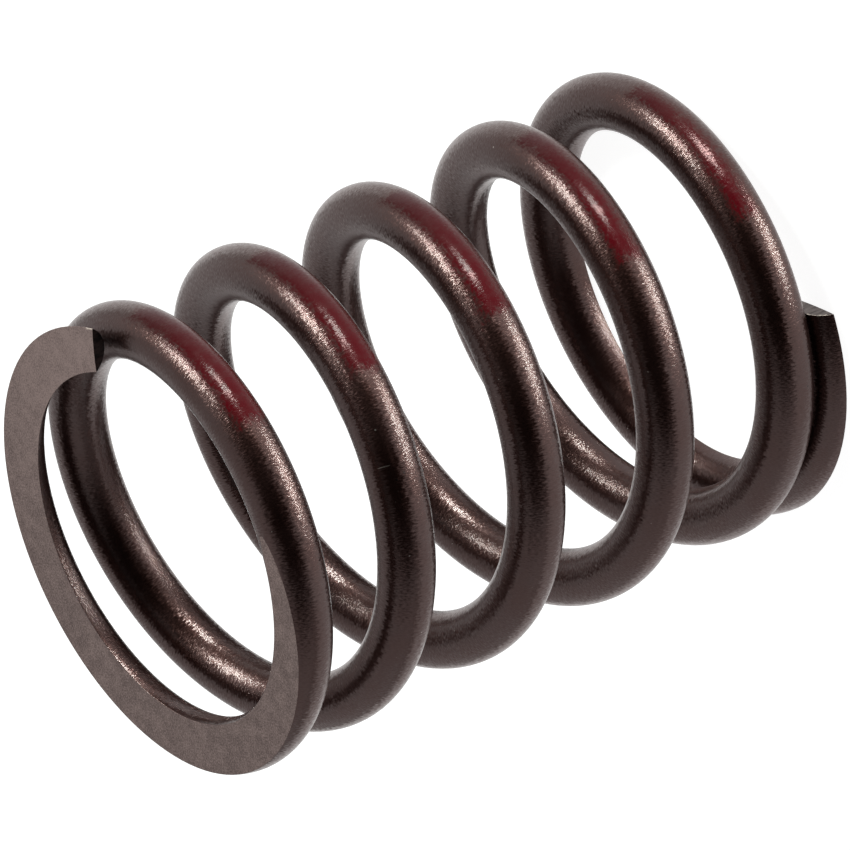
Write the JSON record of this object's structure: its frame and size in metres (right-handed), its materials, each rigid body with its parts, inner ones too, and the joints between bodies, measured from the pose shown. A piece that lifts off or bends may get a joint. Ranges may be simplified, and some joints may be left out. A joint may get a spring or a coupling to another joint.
{
  "type": "engine valve spring",
  "caption": "Left-hand compression coil spring of round wire, with closed and ground ends, that closes an engine valve.",
  "frame": {"origin": "middle of the coil in the plane of the bottom seat", "axes": "+Z along the coil's axis, from the bottom seat to the top seat; +X through the wire's top tip"},
  "size_m": [0.0318, 0.0318, 0.045],
  "materials": {
    "spring_wire": "dark bronze satin, with a red paint stripe"
  },
  "bodies": {
    "root": {"valve_spring": "spring_wire"}
  },
  "joints": []
}
